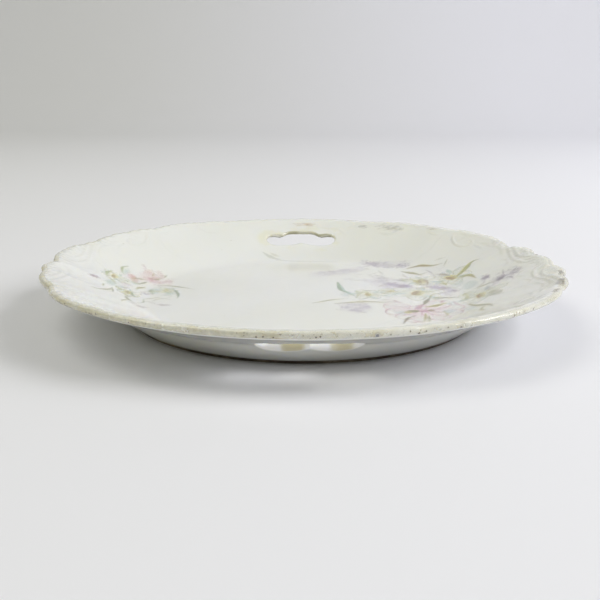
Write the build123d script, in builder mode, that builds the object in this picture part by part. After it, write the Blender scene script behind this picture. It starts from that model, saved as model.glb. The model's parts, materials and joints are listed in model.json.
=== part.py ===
"""An open-handled porcelain cake platter, in millimetres.

The platter stands on its foot at z = 0 with its axis on Z. The pierced
handles lie on the Y axis, one in front (-Y) and one at the back (+Y).
"""

from build123d import *
import os
from math import cos, radians, sin

# --- driving dimensions -------------------------------------------------
RIM_RADIUS = 140.0  # mean radius of the lip
RIM_HEIGHT = 29.0  # top of the lip above the table
LIP_THICKNESS = 3.1  # height of the lip's outer face
FLOOR_HEIGHT = 7.3  # top of the flat well
FLOOR_THICKNESS = 4.6  # porcelain under the well
WELL_RADIUS = 89.3  # where the floor would meet the rim without its curve
WELL_CURVE = 40.0  # radius of the curve between floor and rim
RIM_SLOPE = 0.45  # rise of the rim for each millimetre outwards
FOOT_RADIUS = 94.0  # outer radius of the tread
FOOT_WIDTH = 3.6  # width of the tread
TREAD_HEIGHT = 1.6  # height of the bare, unglazed part of the foot
KNEE_RADIUS = 113.0  # where the underside turns from the wall to the rim
KNEE_HEIGHT = 14.4
REACH = 12.0  # how far the turned section runs past the lip before it is cut
LIP_RISE = 1.6  # rise of the lip's top over that reach
FILM = 0.2  # thickness of the lustre, gilding and transfers

# Scallops of the rim: each runs from its own notch to the next one.
# (angle of the notch, radius at the notch, radius at the crest that follows)
SCALLOPS = [
    (-4.6, 136.6, 139.0),
    (8.0, 135.8, 139.4),
    (18.6, 133.6, 141.4),
    (46.0, 140.2, 141.8),
    (68.0, 139.4, 140.6),
    (112.0, 139.4, 141.8),
    (135.0, 140.2, 141.6),
    (158.5, 138.4, 141.6),
    (181.0, 137.0, 140.4),
    (191.0, 138.4, 140.2),
    (205.7, 137.8, 142.0),
    (228.0, 140.6, 141.4),
    (249.0, 138.0, 138.8),
    (291.0, 138.0, 141.6),
    (316.0, 142.0, 142.6),
    (332.0, 140.2, 141.2),
    (344.2, 138.2, 140.4),
]


def on_circle(angle, radius):
    """A point of the plan at this angle in degrees from +X."""
    return (radius * cos(radians(angle)), radius * sin(radians(angle)))


def top_points(lift):
    """The upper surface's section, from the axis outwards, raised by lift."""
    lip_start = RIM_RADIUS - 4
    lip_start_height = FLOOR_HEIGHT + RIM_SLOPE * (lip_start - WELL_RADIUS)
    return [
        (0, FLOOR_HEIGHT + lift),
        (WELL_RADIUS, FLOOR_HEIGHT + lift),
        (lip_start, lip_start_height + lift),
        (RIM_RADIUS + REACH, RIM_HEIGHT + LIP_RISE + lift),
    ]


def under_points():
    """The underside's section, from the axis outwards."""
    foot_inner = FOOT_RADIUS - FOOT_WIDTH
    return [
        (0, FLOOR_HEIGHT - FLOOR_THICKNESS),
        (foot_inner - 3, FLOOR_HEIGHT - FLOOR_THICKNESS),
        (foot_inner, TREAD_HEIGHT),
        (FOOT_RADIUS + TREAD_HEIGHT, TREAD_HEIGHT),
        (KNEE_RADIUS, KNEE_HEIGHT),
        (RIM_RADIUS - 1, RIM_HEIGHT - LIP_THICKNESS),
        (RIM_RADIUS + REACH, RIM_HEIGHT - LIP_THICKNESS),
    ]


def top_line(lift):
    """Draw the upper section, with its curves, in the open BuildLine."""
    return FilletPolyline(*top_points(lift), radius=[WELL_CURVE, 8.0])


# --- plan shapes ----------------------------------------------------------
with BuildSketch() as rim_outline:
    with BuildLine():
        for here, after in zip(SCALLOPS, SCALLOPS[1:] + [SCALLOPS[0]]):
            start_angle, notch_radius, crest_radius = here
            end_angle = after[0] if after[0] > start_angle else after[0] + 360
            ThreePointArc(
                on_circle(start_angle, notch_radius),
                on_circle((start_angle + end_angle) / 2, crest_radius),
                on_circle(end_angle, after[1]),
            )
    make_face()

with BuildSketch() as body_outline:
    add(rim_outline.sketch)
    offset(amount=-FILM, mode=Mode.REPLACE)

# A handle slot: two lobes on the inside, a plateau between two dips on the outside.
SLOT_HALF_WIDTH = 23.3
SLOT_END_RADIUS = 6.0
SLOT_SHOULDER = 119.0  # outer edge at the ends
SLOT_DIP = 117.3  # outer edge where it dips beside the plateau
SLOT_DIP_AT = 14.0
SLOT_PLATEAU = 122.6  # outer edge in the middle
SLOT_PLATEAU_END = 4.5
SLOT_CUSP = 110.8  # inner edge in the middle
BACK_SLOT_SHIFT = 0.6  # each slot was cut a little off centre
FRONT_SLOT_SHIFT = 1.0
with BuildSketch() as slot:
    end_x = SLOT_HALF_WIDTH - SLOT_END_RADIUS
    inner_y = SLOT_SHOULDER - 2 * SLOT_END_RADIUS
    with BuildLine():
        Line((0, SLOT_PLATEAU), (SLOT_PLATEAU_END, SLOT_PLATEAU))
        Spline(
            (SLOT_PLATEAU_END, SLOT_PLATEAU),
            (SLOT_DIP_AT, SLOT_DIP),
            (end_x, SLOT_SHOULDER),
            tangents=[(1, 0), (1, 0)],
        )
        ThreePointArc(
            (end_x, SLOT_SHOULDER),
            (SLOT_HALF_WIDTH, SLOT_SHOULDER - SLOT_END_RADIUS),
            (end_x, inner_y),
        )
        ThreePointArc((end_x, inner_y), (end_x / 2, inner_y + 0.6), (0, SLOT_CUSP))
        mirror(about=Plane.YZ)
    make_face()

with BuildSketch() as slots:
    with Locations((BACK_SLOT_SHIFT, 0)):
        add(slot.sketch)
    with Locations(Location((FRONT_SLOT_SHIFT, 0, 0), (0, 0, 180))):
        add(slot.sketch)

with BuildSketch(Plane.XZ) as dish_section:
    with BuildLine():
        upper = top_line(0)
        lower = Polyline(*under_points())
        Line(upper @ 0, lower @ 0)
        Line(upper @ 1, lower @ 1)
    make_face()


# --- porcelain --------------------------------------------------------------
with BuildPart() as platter_body:
    add(dish_section.sketch)
    revolve(axis=Axis.Z)
    add(body_outline.sketch)
    extrude(amount=2 * RIM_HEIGHT, mode=Mode.INTERSECT)
    add(slots.sketch)
    extrude(amount=2 * RIM_HEIGHT, mode=Mode.SUBTRACT)
platter_body.part.label = "platter_body"

with BuildPart() as foot_ring:
    with BuildSketch(Plane.XZ):
        with BuildLine():
            Polyline(
                (FOOT_RADIUS - FOOT_WIDTH, TREAD_HEIGHT),
                (FOOT_RADIUS - FOOT_WIDTH + 0.6, 0),
                (FOOT_RADIUS, 0),
                (FOOT_RADIUS + TREAD_HEIGHT, TREAD_HEIGHT),
                close=True,
            )
        make_face()
    revolve(axis=Axis.Z)
foot_ring.part.label = "foot_ring"


# --- lustre, gilding and transfers -----------------------------------------
with BuildPart() as edge_lustre_band:
    add(dish_section.sketch)
    revolve(axis=Axis.Z)
    add(rim_outline.sketch)
    extrude(amount=2 * RIM_HEIGHT, mode=Mode.INTERSECT)
    add(body_outline.sketch)
    extrude(amount=2 * RIM_HEIGHT, mode=Mode.SUBTRACT)
edge_lustre_band.part.label = "edge_lustre_band"


def film_over(region):
    """A thin film on the upper surface, where the region covers it."""
    with BuildPart() as film:
        with BuildSketch(Plane.XZ):
            with BuildLine():
                upper = top_line(FILM)
                lower = top_line(0)
                Line(upper @ 0, lower @ 0)
                Line(upper @ 1, lower @ 1)
            make_face()
        revolve(axis=Axis.Z)
        add(region.sketch)
        extrude(amount=2 * RIM_HEIGHT, mode=Mode.INTERSECT)
    return film


# Patches of gilding: centre angle and radius, length along the rim, width.
GILDED_PATCHES = [
    (89.0, 129.5, 18.0, 5.0),
    (61.0, 131.0, 16.0, 7.0),
    (-17.0, 131.0, 12.0, 6.0),
    (-28.0, 134.0, 16.0, 5.0),
    (-50.0, 134.5, 14.0, 4.0),
    (-91.0, 129.5, 18.0, 5.0),
]
with BuildSketch() as gilded_regions:
    for angle, radius, length, width in GILDED_PATCHES:
        with Locations(Location((*on_circle(angle, radius), 0), (0, 0, angle + 90))):
            Ellipse(length / 2, width / 2)

with BuildSketch() as large_spray_region:
    with BuildLine():
        Spline(
            (3, -16),
            (24, -38),
            (50, -62),
            (94, -60),
            (112, -26),
            (126, 4),
            (112, 46),
            (84, 68),
            (48, 82),
            (8, 66),
            (15, 20),
            periodic=True,
        )
    make_face()

with BuildSketch() as small_spray_region:
    with BuildLine():
        Spline(
            (-60, 17),
            (-76, 50),
            (-100, 50),
            (-114, 22),
            (-121, -4),
            (-116, -30),
            (-98, -36),
            (-72, -24),
            periodic=True,
        )
    make_face()

with BuildSketch() as stem_region:
    with BuildLine():
        stem = Spline((-24, 95), (-8, 91.5), (25, 89))
    trace(stem, 3.6)

worn_gilding = film_over(gilded_regions)
large_flower_spray = film_over(large_spray_region)
small_flower_spray = film_over(small_spray_region)
trailing_stem = film_over(stem_region)
worn_gilding.part.label = "worn_gilding"
large_flower_spray.part.label = "large_flower_spray"
small_flower_spray.part.label = "small_flower_spray"
trailing_stem.part.label = "trailing_stem"

os.makedirs("parts", exist_ok=True)
for piece in (
    platter_body,
    foot_ring,
    edge_lustre_band,
    worn_gilding,
    large_flower_spray,
    small_flower_spray,
    trailing_stem,
):
    export_step(piece.part, f"parts/{piece.part.label}.step")
    box = piece.part.bounding_box().size
    print(f"{piece.part.label:20s} {box.X:7.1f} {box.Y:7.1f} {box.Z:6.1f}")
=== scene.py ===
# %% [markdown]
# # A china serving platter in Blender
#
# The platter is one fired piece of porcelain that several hands worked on in turn. A press moulder made
# the dish with its scalloped rim and scrolls and cut the two finger slots, a glazer dipped it, and
# decorators added a straw lustre on the lip, a little gilding, and flower prints. This notebook follows
# the same order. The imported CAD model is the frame: it gives every size and place, and each piece here
# stands for one of its nodes.

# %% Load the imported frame
import json
import math
import bpy
import numpy as np
from mathutils import Matrix, Vector, kdtree
from mathutils.geometry import delaunay_2d_cdt

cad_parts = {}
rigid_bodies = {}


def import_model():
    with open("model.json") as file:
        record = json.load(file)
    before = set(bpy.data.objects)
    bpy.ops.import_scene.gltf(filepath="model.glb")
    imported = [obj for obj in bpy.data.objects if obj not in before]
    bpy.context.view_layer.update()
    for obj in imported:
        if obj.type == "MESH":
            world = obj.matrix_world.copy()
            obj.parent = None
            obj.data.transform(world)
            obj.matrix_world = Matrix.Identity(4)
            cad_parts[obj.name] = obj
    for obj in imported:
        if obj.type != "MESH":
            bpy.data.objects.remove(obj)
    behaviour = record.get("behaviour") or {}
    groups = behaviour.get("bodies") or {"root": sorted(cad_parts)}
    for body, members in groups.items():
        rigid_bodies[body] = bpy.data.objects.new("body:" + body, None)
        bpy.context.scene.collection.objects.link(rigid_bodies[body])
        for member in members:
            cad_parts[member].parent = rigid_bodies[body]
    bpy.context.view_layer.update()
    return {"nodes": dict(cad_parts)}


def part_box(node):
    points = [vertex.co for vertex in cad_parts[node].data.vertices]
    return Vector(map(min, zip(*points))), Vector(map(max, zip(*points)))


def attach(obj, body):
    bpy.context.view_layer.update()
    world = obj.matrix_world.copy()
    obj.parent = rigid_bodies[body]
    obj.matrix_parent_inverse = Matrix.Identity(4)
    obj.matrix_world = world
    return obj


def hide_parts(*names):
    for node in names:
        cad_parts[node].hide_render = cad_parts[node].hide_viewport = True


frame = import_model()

MM = 0.001  # the shapes below are worked out in millimetres, like the CAD model

# %% [markdown]
# ## Helpers
#
# Colours are easiest to choose as the eye sees them, and the renderer wants them linear, so one small
# function converts. Meshes are built from NumPy arrays, and every piece rides on the single body `root`.

# %% Colour and mesh helpers
def linear_light(display):
    """Linear light from display values between 0 and 1, by the sRGB rule."""
    return np.where(display <= 0.04045, display / 12.92, ((display + 0.055) / 1.055) ** 2.4)


def colour(red, green, blue):
    """A linear colour from display values between 0 and 255."""
    linear = linear_light(np.array([red, green, blue]) / 255)
    return tuple(float(v) for v in linear) + (1.0,)


def new_piece(name, points, faces, material=None):
    """A smooth-shaded mesh object from points in millimetres."""
    mesh = bpy.data.meshes.new(name)
    mesh.from_pydata((np.asarray(points) * MM).tolist(), [], [list(map(int, f)) for f in faces])
    mesh.validate()
    mesh.polygons.foreach_set("use_smooth", [True] * len(mesh.polygons))
    piece = bpy.data.objects.new(name, mesh)
    bpy.context.scene.collection.objects.link(piece)
    if material:
        mesh.materials.append(material)
    return piece


def point_value(piece, name, values):
    """Keep one number for each point, for the materials to read."""
    layer = piece.data.attributes.new(name, "FLOAT", "POINT")
    layer.data.foreach_set("value", np.asarray(values, dtype=np.float32))


def smooth_step(value, low, high):
    """0 below low, 1 above high, and an even curve between."""
    share = np.clip((value - low) / (high - low), 0, 1)
    return share * share * (3 - 2 * share)


# %% [markdown]
# ## The outlines
#
# The rim's scallops and the two finger slots are cut in plan, so the CAD model already holds them as
# upright walls. Reading those walls back gives the outlines without writing them twice. The corners are
# then softened, because wet clay and glaze leave no sharp corner anywhere.

# %% Read the upright walls of the CAD model
def wall_points(node, keep):
    """Plan points in millimetres of a node's upright faces that pass the test keep(centre, normal)."""
    mesh = frame["nodes"][node].data
    found = set()
    for face in mesh.polygons:
        centre = np.array(face.center) / MM
        if abs(face.normal.z) < 0.2 and keep(centre, face.normal):
            for index in face.vertices:
                spot = mesh.vertices[index].co / MM
                found.add((round(spot.x, 3), round(spot.y, 3)))
    return np.array(sorted(found))


def even_loop(points, centre, step, soften):
    """A closed outline seen from a centre, resampled evenly and softened over a few millimetres."""
    offset = points - centre
    order = np.argsort(np.arctan2(offset[:, 1], offset[:, 0]))
    ring = points[order]
    closed = np.vstack([ring, ring[:1]])
    along = np.concatenate([[0], np.cumsum(np.linalg.norm(np.diff(closed, axis=0), axis=1))])
    count = int(round(along[-1] / step))
    where = np.arange(count) * along[-1] / count
    loop = np.column_stack([np.interp(where, along, closed[:, k]) for k in range(2)])
    reach = int(3 * soften / step) + 1
    weight = np.exp(-0.5 * (np.arange(-reach, reach + 1) * step / soften) ** 2)
    weight /= weight.sum()
    shifted = [np.roll(loop, -shift, axis=0) * w for shift, w in zip(range(-reach, reach + 1), weight)]
    return np.sum(shifted, axis=0)


def faces_outwards(centre, normal):
    return normal.x * centre[0] + normal.y * centre[1] > 0


SLOT_CENTRE = 115.0  # distance of each finger slot from the axis
SLOT_HALF_ROOM = (26, 12)  # half the width and depth of the area searched for each slot's wall
rim_loop = even_loop(wall_points("edge_lustre_band", faces_outwards), np.zeros(2), step=0.8, soften=0.9)


def slot_outline(side):
    """The outline of one finger slot: side is 1 at the back and -1 in front."""
    middle = np.array([0, side * SLOT_CENTRE])

    def near(centre, normal):
        return (np.abs(centre[:2] - middle) < SLOT_HALF_ROOM).all()

    return even_loop(wall_points("platter_body", near), middle, step=0.7, soften=0.8)


slot_loops = [slot_outline(1), slot_outline(-1)]
print("rim outline:", len(rim_loop), "points; slots:", [len(loop) for loop in slot_loops])

# %% [markdown]
# ## How high the porcelain stands
#
# Pressed ware is nearly the same thickness all over, so two height functions describe it: one for the
# upper face and one for the underside. The upper face is a flat well, a soft curve and a straight rim
# whose slope varies a little, because the lip waves gently. Along every cut edge both faces bend towards
# each other, which gives the round, glaze-filled edge of real china.

# %% Sizes taken from the frame
body_high = np.array(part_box("platter_body")[1]) / MM
foot_high = np.array(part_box("foot_ring")[1]) / MM
film_low = np.array(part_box("large_flower_spray")[0]) / MM
TREAD_TOP = foot_high[2]  # the glaze starts here
FOOT_OUTER = foot_high[0]  # where the foot meets the wall
WELL_TOP = film_low[2]  # the floor of the well, which the flower film lies on
MEAN_RADIUS = np.hypot(rim_loop[:, 0], rim_loop[:, 1]).mean()
LIP_TOP = body_high[2] - 0.5  # mean height of the lip, just under the highest point
WELL_RADIUS = 89.3
WELL_SOFTNESS = 7.0  # how gently the well turns up into the rim
LIP_WIDTH = 4.0
LIP_THICKNESS = 3.1
UNDER_WELL = 2.7  # height of the underside inside the foot
KNEE_RADIUS = 113.0  # the underside bends from the wall to the rim here
KNEE_HEIGHT = 14.4
KNEE_SOFTNESS = 0.35
print(f"well {WELL_TOP:.1f} mm, lip {LIP_TOP:.1f} mm, foot {FOOT_OUTER:.1f} mm, rim {MEAN_RADIUS:.1f} mm")


# %% The two faces before any relief
rim_angle = np.arctan2(rim_loop[:, 1], rim_loop[:, 0])
rim_order = np.argsort(rim_angle)
rim_reach = np.hypot(rim_loop[:, 0], rim_loop[:, 1])


def rim_radius(angle):
    """Radius of the scalloped rim at an angle."""
    return np.interp(angle, rim_angle[rim_order], rim_reach[rim_order], period=2 * math.pi)


def lip_wave(angle):
    """The lip waves slowly round the rim and stands a little higher in front."""
    return 0.10 * np.cos(2 * angle + 0.5) - 0.28 * np.sin(angle) - 0.12 * np.sin(5 * angle)


def lip_height(angle):
    """Height of the lip, which dips at the notches between scallops."""
    return LIP_TOP + 0.22 * (rim_radius(angle) - MEAN_RADIUS) + lip_wave(angle)


def plain_top(x, y):
    radius, angle = np.hypot(x, y), np.arctan2(y, x)
    lip_start = rim_radius(angle) - LIP_WIDTH
    slope = (lip_height(angle) - 0.4 - WELL_TOP) / (lip_start - WELL_RADIUS)
    past = radius - WELL_RADIUS
    ramp = (past + np.sqrt(past**2 + WELL_SOFTNESS**2)) / 2
    height = WELL_TOP + slope * np.minimum(ramp, lip_start - WELL_RADIUS)
    return height + 0.1 * np.clip(radius - lip_start, 0, LIP_WIDTH)


def plain_under(x, y):
    radius, angle = np.hypot(x, y), np.arctan2(y, x)
    lip_bottom = LIP_TOP + lip_wave(angle) - LIP_THICKNESS
    wall = TREAD_TOP + (radius - FOOT_OUTER) * (KNEE_HEIGHT - TREAD_TOP) / (KNEE_RADIUS - FOOT_OUTER)
    rim = KNEE_HEIGHT + (radius - KNEE_RADIUS) * (lip_bottom - KNEE_HEIGHT) / (MEAN_RADIUS - KNEE_RADIUS)
    bend = (wall + rim - np.sqrt((wall - rim) ** 2 + KNEE_SOFTNESS**2)) / 2
    recess = smooth_step(radius, FOOT_OUTER - 9.0, FOOT_OUTER - 5.4)
    inside = UNDER_WELL + (TREAD_TOP - UNDER_WELL) * recess
    return np.where(radius < FOOT_OUTER, inside, bend)


# %% [markdown]
# ## Distance to the cut edges
#
# Edge rounding, lustre, wear and the glaze that pools at a slot all depend on how far a point is from
# the nearest cut edge. A k-d tree finds the nearest outline point and the two segments beside it give
# the exact distance.

# %% Distance to an outline
FAR = 9.0  # distances to an outline are not told apart past this


def distance_to(points, loop):
    """Distance of each plan point to a closed outline, up to FAR."""
    tree = kdtree.KDTree(len(loop))
    for index, spot in enumerate(loop):
        tree.insert((spot[0], spot[1], 0), index)
    tree.balance()
    nearest = np.array([tree.find((p[0], p[1], 0))[1] for p in points])
    best = np.full(len(points), 1e9)
    for step in (-1, 0):
        start = loop[(nearest + step) % len(loop)]
        along = loop[(nearest + step + 1) % len(loop)] - start
        share = np.clip(((points - start) * along).sum(1) / (along**2).sum(1), 0, 1)
        best = np.minimum(best, np.linalg.norm(points - start - share[:, None] * along, axis=1))
    return np.minimum(best, FAR)


def inside_loop(points, loop):
    """True where a plan point lies inside a closed outline, by counting edge crossings."""
    inside = np.zeros(len(points), bool)
    after = np.roll(loop, -1, axis=0)
    for (x0, y0), (x1, y1) in zip(loop, after):
        crosses = (y0 > points[:, 1]) != (y1 > points[:, 1])
        if crosses.any():
            at = x0 + (points[crosses, 1] - y0) * (x1 - x0) / (y1 - y0)
            inside[np.flatnonzero(crosses)[points[crosses, 0] < at]] ^= True
    return inside

# %% [markdown]
# ## The moulded scrolls
#
# The rim carries shallow rococo scrolls that came out of the plaster mould with the dish. Each one is a
# line in plan with a width and a height, so a new scroll is one more line in this list. They are drawn
# for one quarter and mirrored, as the mould carver would have done, and stand lower away from the ends.

# %% Lines of relief for one quarter of the rim
SCROLLS = [
    # (height, half width, points from one end to the other)
    (0.62, 1.3, [(118, 72), (124, 66), (128, 58), (128.5, 47), (127.5, 35), (127, 24), (130, 15), (134, 13)]),
    (0.52, 1.0, [(120, 61), (124.5, 54), (125, 44), (124, 32), (123.5, 21), (126, 11), (131, 7),
                 (133.5, 10)]),
    (0.34, 0.8, [(117, 54), (120.5, 48), (121, 41), (119.5, 34)]),
    (0.36, 0.9, [(101, 88), (99, 80), (100.5, 72), (105, 67.5), (109, 69), (109, 73), (106, 74)]),
    (0.30, 0.8, [(109.5, 65), (111.5, 60), (112.5, 55)]),
    (0.30, 0.8, [(113.5, 65), (116.5, 59), (117.5, 52)]),
    (0.26, 0.7, [(105, 86), (108.5, 81), (113, 77), (118, 75)]),
    (0.22, 0.7, [(108, 92), (112, 87), (118, 82)]),
    (0.22, 0.7, [(103, 78), (108, 79), (111, 76)]),
    (0.14, 1.3, [(73, 70), (80, 73), (86, 78), (90, 84), (96, 91)]),
    (0.26, 0.9, [(55, 112), (60, 108.5), (66, 109), (70, 112.5), (68, 116), (64, 115)]),
    (0.26, 1.0, [(56, 121), (62, 122), (70, 118), (79, 112), (88, 106), (95, 96)]),
    (0.20, 0.8, [(86, 101), (88, 96), (92, 92)]),
    (0.16, 0.9, [(31, 112), (31, 118), (26, 124), (16, 127), (5, 131), (0, 132)]),
    (0.16, 0.8, [(33, 121), (37, 124), (42, 123), (47, 119)]),
    (0.36, 0.8, [(128, 4), (131.5, 1.5), (132, -3), (129, -5)]),
    (0.30, 0.7, [(131, 24), (133.5, 29), (133, 36), (130.5, 42)]),
    (0.26, 0.7, [(131.5, 45), (132, 51), (130, 57)]),
    (0.24, 0.6, [(118, 30), (120.5, 26), (120, 20), (117.5, 17)]),
    (0.22, 0.6, [(121, 14), (118.5, 9), (121, 4), (125, 3)]),
]
FLUTES = [-24, -20, -16.5, -12.5, -8.5, -3, 1.5, 5, 10.5, 15, 20, 24]  # angles of the shell flutes
RIBS = (-1.5, 0.0, 1.5)  # each flute is three fine ribs this many degrees apart
END_SHARE = {1: 1.0, -1: 0.45}  # the mould was crisp at one end and worn at the other
RIB_HEIGHT, RIB_HALF_WIDTH = 0.42, 0.85
CREASE_WIDTH = 0.55  # how far the darker band spreads from the foot of a line of relief


def smooth_line(points, step=0.5):
    """A Catmull-Rom curve through given points, sampled evenly enough for painting."""
    spots = np.asarray(points, float)
    spots = np.vstack([2 * spots[0] - spots[1], spots, 2 * spots[-1] - spots[-2]])
    samples = []
    for a, b, c, d in zip(spots, spots[1:], spots[2:], spots[3:]):
        count = max(2, int(np.linalg.norm(c - b) / step))
        t = (np.arange(count) / count)[:, None]
        bend = 2 * b + (c - a) * t + (2 * a - 5 * b + 4 * c - d) * t**2 + (3 * b - a - 3 * c + d) * t**3
        samples.append(bend / 2)
    return np.vstack(samples + [spots[-2][None]])


def all_scrolls():
    """Every relief line of the rim as (height, half width, sampled line)."""
    lines = []
    for across, share in END_SHARE.items():
        for along in (1, -1):
            for height, width, points in SCROLLS:
                lines.append((height * share, width, smooth_line(np.array(points) * (across, along))))
        for degrees in FLUTES:
            for rib in RIBS:
                angle = math.radians(degrees + rib if across > 0 else 180 - degrees - rib)
                outer = float(rim_radius(angle)) - 0.8
                inner = 129.5 - 2.5 * math.cos(3 * angle) + 1.2 * abs(rib)
                bend = angle + 0.03 * math.sin(9 * angle)
                points = [(inner * math.cos(bend), inner * math.sin(bend)),
                          ((inner + outer) / 2 * math.cos(angle), (inner + outer) / 2 * math.sin(angle)),
                          (outer * math.cos(angle), outer * math.sin(angle))]
                lines.append((RIB_HEIGHT * share, RIB_HALF_WIDTH, smooth_line(points)))
    return lines


def relief_at(points):
    """Height of the relief and how deep a point lies in the crease beside it, both at plan points."""
    height, crease = np.zeros(len(points)), np.zeros(len(points))
    for rise, width, line in all_scrolls():
        reach = width + 1.6
        low, high = line.min(0) - reach, line.max(0) + reach
        close = np.flatnonzero(((points > low) & (points < high)).all(1))
        if not len(close):
            continue
        gap = np.linalg.norm(points[close][:, None] - line[None], axis=2)
        nearest = gap.argmin(1)
        gap = gap.min(1)
        share = nearest / (len(line) - 1)
        taper = np.clip(np.minimum(share, 1 - share) * 5, 0.25, 1) ** 0.6
        dome = np.clip(1 - (gap / (width * taper)) ** 2, 0, 1) ** 0.75
        height[close] = np.maximum(height[close], rise * taper * dome)
        flank = np.exp(-(((gap - width * taper) / CREASE_WIDTH) ** 2)) * rise * taper
        crease[close] = np.maximum(crease[close], flank)
    return height, crease


print("relief lines:", len(all_scrolls()))

# %% [markdown]
# ## The porcelain body
#
# The body is a height field on both faces of one plan shape. Rings of points, dense where the relief and
# the rounded edges are and open in the flat well, are joined by a Delaunay triangulation that keeps the
# cut outlines. The same outline points close the two faces into one solid.

# %% Points for one face of the body
EDGE_STEPS = (0.10, 0.30, 0.60, 1.0, 1.5, 2.1, 2.9)  # depths behind a cut edge that get their own row
RING_GAP = 0.62  # the rings of points stop this far short of the last of those rows


def rows_behind(loop, outwards):
    """Rows of points that follow an outline inside the porcelain."""
    along = np.roll(loop, -1, axis=0) - np.roll(loop, 1, axis=0)
    normal = np.column_stack([along[:, 1], -along[:, 0]]) / np.linalg.norm(along, axis=1)[:, None]
    inward = normal if outwards else -normal
    rows = []
    for depth in EDGE_STEPS:
        row = loop + inward * depth
        rows.append(row[distance_to(row, loop) > 0.93 * depth])
    return np.vstack(rows)


def rings(bands):
    """Concentric rows of points: bands holds (inner radius, outer radius, spacing)."""
    rows = [np.zeros((1, 2))]
    for inner, outer, gap in bands:
        for index, radius in enumerate(np.arange(inner, outer, gap)):
            count = max(6, int(round(2 * math.pi * radius / gap)))
            angle = (np.arange(count) + 0.5 * (index % 2)) * 2 * math.pi / count
            rows.append(np.column_stack([np.cos(angle), np.sin(angle)]) * radius)
    return np.vstack(rows)


def edge_depth(points):
    """Distance behind the lip and behind the nearest slot edge."""
    slots = np.minimum(distance_to(points, slot_loops[0]), distance_to(points, slot_loops[1]))
    return distance_to(points, rim_loop), slots


def in_porcelain(points):
    hit = inside_loop(points, rim_loop)
    for loop in slot_loops:
        hit &= ~inside_loop(points, loop)
    return hit


def triangulate(bands):
    """A triangulation of the plan shape: (points, triangles)."""
    outlines = [rim_loop] + slot_loops
    rows = np.vstack([rows_behind(rim_loop, False)] + [rows_behind(loop, True) for loop in slot_loops])
    rows = rows[in_porcelain(rows)]
    inner = rings(bands)
    inner = inner[in_porcelain(inner)]
    lip, slot = edge_depth(inner)
    inner = inner[np.minimum(lip, slot) > EDGE_STEPS[-1] + RING_GAP]
    points = np.vstack(outlines + [rows, inner])
    edges, start = [], 0
    for loop in outlines:
        count = len(loop)
        edges += [(start + k, start + (k + 1) % count) for k in range(count)]
        start += count
    found = delaunay_2d_cdt([Vector(p) for p in points], edges, [], 0, 1e-6)
    spots = np.array([(v.x, v.y) for v in found[0]])
    triangles = np.array([f for f in found[2] if len(f) == 3])
    middle = spots[triangles].mean(axis=1)
    triangles = triangles[in_porcelain(middle)]
    a, b, c = (spots[triangles[:, k]] for k in range(3))
    turn = (b[:, 0] - a[:, 0]) * (c[:, 1] - a[:, 1]) - (b[:, 1] - a[:, 1]) * (c[:, 0] - a[:, 0])
    triangles[turn < 0] = triangles[turn < 0][:, ::-1]
    return spots, triangles


top_plan, top_faces = triangulate([(4, 78, 3.4), (78, 112, 1.7), (112, 146, 0.95)])
under_plan, under_faces = triangulate([(5, 84, 4.5), (84, 98, 1.1), (98, 146, 1.5)])
print("triangles above and below:", len(top_faces), len(under_faces))


# %% Heights of both faces
FINGER_DIP = 1.7  # the dish side of the front slot is wiped down, so fingers slide in
BACK_PARING = 1.5  # the underside is pared away towards the back slot
LIP_ROUNDING, SLOT_ROUNDING = 1.9, 1.1  # how far behind each cut edge the rounding starts
ROUNDNESS = 2.2  # 2 would be a half circle; more is squarer


def lip_beads(angle):
    """Small uneven beads along the lip."""
    large = 0.09 * np.sin(43 * angle + 3 * np.sin(7 * angle))
    small = 0.06 * np.sin(127 * angle + 2 * np.sin(11 * angle))
    return large + small


def face_heights(points):
    """At plan points: upper height, lower height, crease, and depth behind the lip and the slots."""
    x, y = points[:, 0], points[:, 1]
    lip, slot = edge_depth(points)
    relief, crease = relief_at(points)
    swell = 0.08 * np.sin(x / 17 + 1) * np.cos(y / 23) + 0.05 * np.sin(x / 9 - y / 11)
    fade = smooth_step(lip, 0.0, 2.0) * smooth_step(slot, 0.0, 1.6)
    top = plain_top(x, y) + relief * fade + swell * smooth_step(np.hypot(x, y), 70, 100)
    under = plain_under(x, y) + BACK_PARING * smooth_step(slot, 3.4, 0.4) * smooth_step(y, 60, 80)
    dish_side = smooth_step(np.hypot(x, y), 115.5, 113.0) * smooth_step(y, -60, -80)
    top -= FINGER_DIP * dish_side * smooth_step(slot, 2.6, 0.0)
    top += lip_beads(np.arctan2(y, x)) * smooth_step(lip, 6.0, 2.5) * (1 + 1.2 * smooth_step(-x, 60, 100))
    depth = np.minimum(lip / LIP_ROUNDING, slot / SLOT_ROUNDING)
    round_off = (1 - (1 - np.clip(depth, 0, 1)) ** ROUNDNESS) ** (1 / ROUNDNESS)
    middle, half = (top + under) / 2, (top - under) / 2
    return middle + half * round_off, middle - half * round_off, crease, lip, slot


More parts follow.
